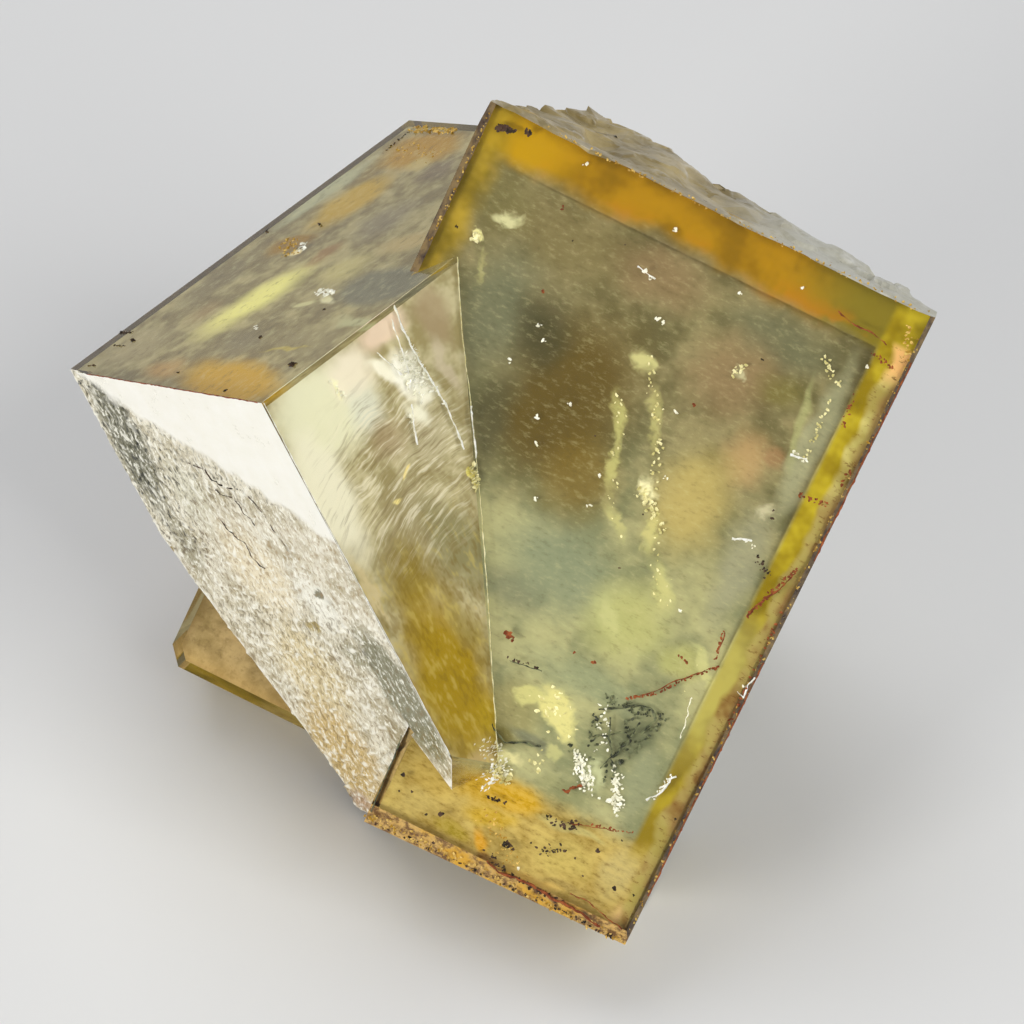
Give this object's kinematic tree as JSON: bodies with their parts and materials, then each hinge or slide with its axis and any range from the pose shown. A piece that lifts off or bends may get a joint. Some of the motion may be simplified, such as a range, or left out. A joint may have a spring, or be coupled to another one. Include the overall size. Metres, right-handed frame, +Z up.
{
  "type": "twinned fluorite cube specimen",
  "caption": "Clear yellow-green fluorite: two cubes grown through each other at an angle, with a broken back, lying on a flat cut base.",
  "frame": {"origin": "middle of the bounding box's underside, on the flat cut base", "axes": "+Z up out of the base; +X to the right and +Y away from a viewer who faces the large cube's front face, which leans back"},
  "size_m": [0.045, 0.0436, 0.0382],
  "materials": {
    "fluorite": "clear to milky yellow-green crystal, glossy on the grown faces, etched and frosted on the small cube's left face, hackly on the broken back"
  },
  "bodies": {
    "root": {"fluorite_twin": "fluorite"}
  },
  "joints": []
}
